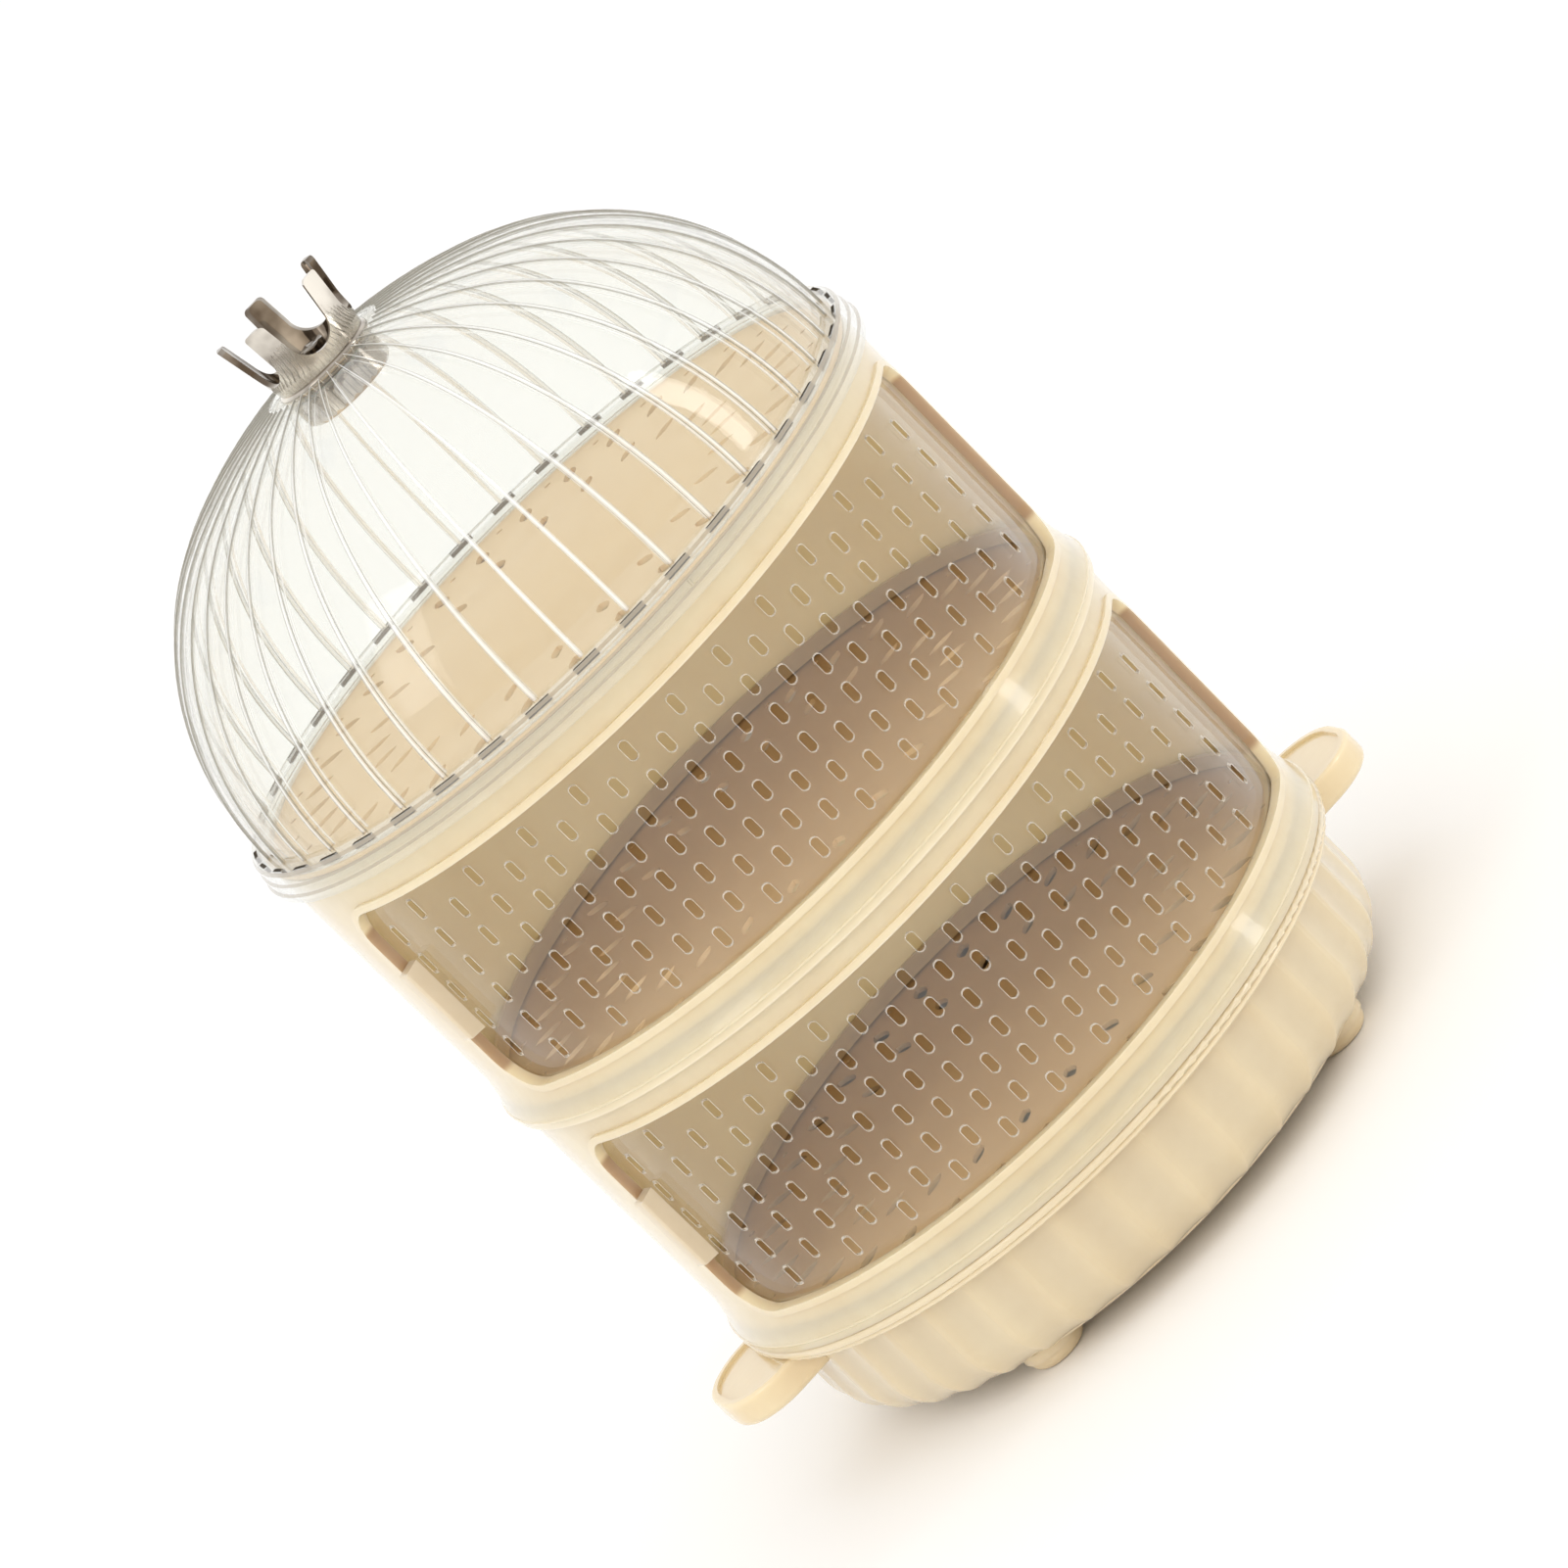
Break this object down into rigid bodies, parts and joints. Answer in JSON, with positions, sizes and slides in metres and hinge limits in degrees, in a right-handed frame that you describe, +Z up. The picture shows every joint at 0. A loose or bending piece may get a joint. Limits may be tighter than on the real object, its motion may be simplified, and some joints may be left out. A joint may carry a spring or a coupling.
{
  "type": "tiered food cover",
  "caption": "Round stacking food keeper: ribbed clear dome with crown knob, tiers with sliding slotted doors, perforated trays and a fluted footed base bowl.",
  "frame": {"origin": "on the ground, in the middle of the four feet", "axes": "+Z up along the stack; the doors face -Y; the two carrying tabs lie along X, turned 3 degrees with the base"},
  "size_m": [0.348, 0.303, 0.4667],
  "materials": {
    "cream_plastic": "glossy moulded cream",
    "tray_plastic": "satin moulded cream",
    "rail_plastic": "satin moulded cream",
    "grip_plastic": "glossy moulded cream",
    "clear_plastic": "clear, polished",
    "chrome": "mirror plated",
    "steel": "zinc plated",
    "silicone": "translucent soft",
    "foot_pad": "soft cream"
  },
  "bodies": {
    "base": {"base_bowl": "cream_plastic", "seat_ring": "cream_plastic", "front_left_foot": "foot_pad", "front_right_foot": "foot_pad", "back_left_foot": "foot_pad", "back_right_foot": "foot_pad"},
    "lower_tray": {"lower_tray": "tray_plastic"},
    "lower_tier": {"lower_tier_shell": "cream_plastic", "lower_bottom_rail": "rail_plastic", "lower_top_rail": "rail_plastic"},
    "lower_door": {"lower_door": "clear_plastic", "lower_door_grip": "grip_plastic"},
    "middle_tray": {"middle_tray": "tray_plastic"},
    "upper_tier": {"upper_tier_shell": "cream_plastic", "upper_bottom_rail": "rail_plastic", "upper_top_rail": "rail_plastic"},
    "upper_door": {"upper_door": "clear_plastic", "upper_door_grip": "grip_plastic"},
    "top_tray": {"top_tray": "tray_plastic"},
    "dome": {"dome_lid": "clear_plastic", "knob_washer": "silicone", "knob_collar": "chrome", "knob_screw": "steel", "crown_knob": "chrome"}
  },
  "joints": [
    {"name": "lower_tray_lift", "type": "slide", "parent": "base", "child": "lower_tray", "axis": [0, 0, 1], "range_m": [0, 0.05]},
    {"name": "lower_tier_lift", "type": "slide", "parent": "lower_tray", "child": "lower_tier", "axis": [0, 0, 1], "range_m": [0, 0.07]},
    {"name": "middle_tray_lift", "type": "slide", "parent": "lower_tier", "child": "middle_tray", "axis": [0, 0, 1], "range_m": [0, 0.05]},
    {"name": "upper_tier_lift", "type": "slide", "parent": "middle_tray", "child": "upper_tier", "axis": [0, 0, 1], "range_m": [0, 0.07]},
    {"name": "top_tray_lift", "type": "slide", "parent": "upper_tier", "child": "top_tray", "axis": [0, 0, 1], "range_m": [0, 0.05]},
    {"name": "dome_lift", "type": "slide", "parent": "top_tray", "child": "dome", "axis": [0, 0, 1], "range_m": [0, 0.15]},
    {"name": "lower_door_turn", "type": "hinge", "parent": "lower_tier", "child": "lower_door", "pos_m": [0, 0, 0.1295], "axis": [0, 0, 1], "range_deg": [0, 143.5]},
    {"name": "upper_door_turn", "type": "hinge", "parent": "upper_tier", "child": "upper_door", "pos_m": [0, 0, 0.2524], "axis": [0, 0, 1], "range_deg": [0, 143.5]}
  ]
}
